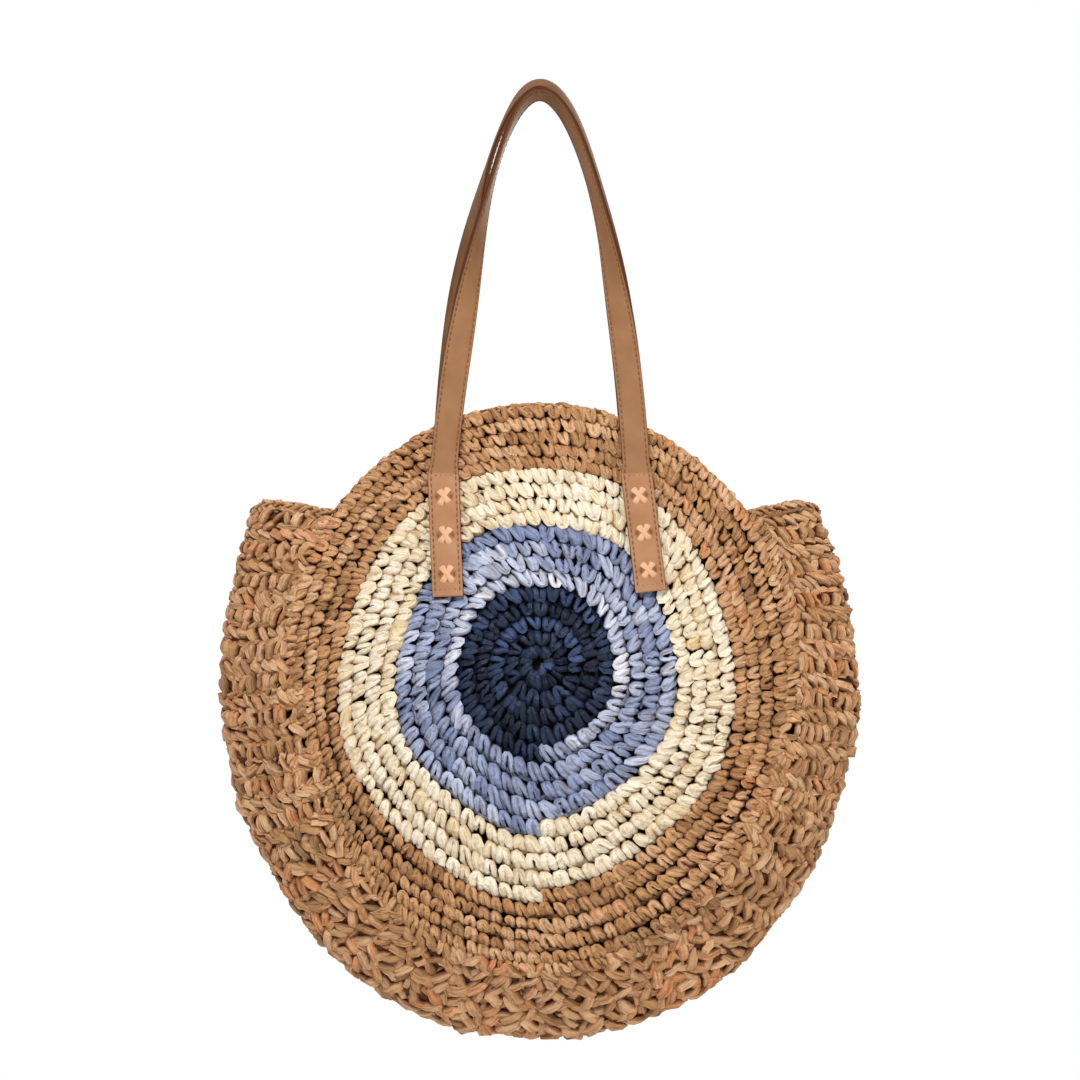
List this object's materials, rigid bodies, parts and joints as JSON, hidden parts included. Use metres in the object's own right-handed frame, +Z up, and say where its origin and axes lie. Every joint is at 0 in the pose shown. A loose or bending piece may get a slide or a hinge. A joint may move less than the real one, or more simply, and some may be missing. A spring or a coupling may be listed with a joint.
{
  "type": "round crochet tote bag",
  "caption": "Round crocheted straw tote with concentric colour rings, a folded gusset, an open top, a cotton lining and two stitched leather handles laced to its panels.",
  "frame": {"origin": "the hanging point, under the tops of the handles, in the bag's middle plane", "axes": "+Z up along the hanging bag, +X to the right seen from the front, the front panel faces -Y"},
  "size_m": [0.419, 0.1236, 0.6349],
  "materials": {
    "navy_straw": "paper straw, crocheted",
    "blue_straw": "paper straw, crocheted",
    "cream_straw": "paper straw, crocheted",
    "tan_straw": "paper straw, crocheted",
    "strap_leather": "smooth, semi-matt",
    "backing_leather": "smooth, matt",
    "thong_leather": "plain, matt",
    "lining_cotton": "plain weave, matt"
  },
  "bodies": {
    "back_shell": {"back_centre_disc": "navy_straw", "back_blue_ring": "blue_straw", "back_cream_ring": "cream_straw", "back_tan_ring": "tan_straw", "back_rim_edging": "tan_straw", "back_seam_yarn": "tan_straw", "lining_back": "lining_cotton", "back_left_tab_face": "strap_leather", "back_left_tab_backing": "backing_leather", "back_left_cross_lacing": "thong_leather", "back_right_tab_face": "strap_leather", "back_right_tab_backing": "backing_leather", "back_right_cross_lacing": "thong_leather", "gusset": "tan_straw", "lining_gusset": "lining_cotton", "left_ear_edging": "tan_straw", "right_ear_edging": "tan_straw"},
    "front_panel": {"front_centre_disc": "navy_straw", "front_blue_ring": "blue_straw", "front_cream_ring": "cream_straw", "front_tan_ring": "tan_straw", "front_rim_edging": "tan_straw", "front_seam_yarn": "tan_straw", "lining_front": "lining_cotton", "front_left_tab_face": "strap_leather", "front_left_tab_backing": "backing_leather", "front_left_cross_lacing": "thong_leather", "front_right_tab_face": "strap_leather", "front_right_tab_backing": "backing_leather", "front_right_cross_lacing": "thong_leather"},
    "front_handle": {"front_handle_face": "strap_leather", "front_handle_backing": "backing_leather"},
    "back_handle": {"back_handle_face": "strap_leather", "back_handle_backing": "backing_leather"}
  },
  "joints": [
    {"name": "mouth_open", "type": "hinge", "parent": "back_shell", "child": "front_panel", "pos_m": [0, -0.0419, -0.57033], "axis": [1, 0, 0], "range_deg": [0, 8], "stiffness_Nm_per_rad": 3, "springref_deg": -2.86},
    {"name": "front_handle_fold", "type": "hinge", "parent": "front_panel", "child": "front_handle", "pos_m": [0, -0.05115, -0.24819], "axis": [1, 0, 0], "range_deg": [0, 165]},
    {"name": "back_handle_fold", "type": "hinge", "parent": "back_shell", "child": "back_handle", "pos_m": [0, 0.05115, -0.24819], "axis": [-1, 0, 0], "range_deg": [0, 165]}
  ]
}
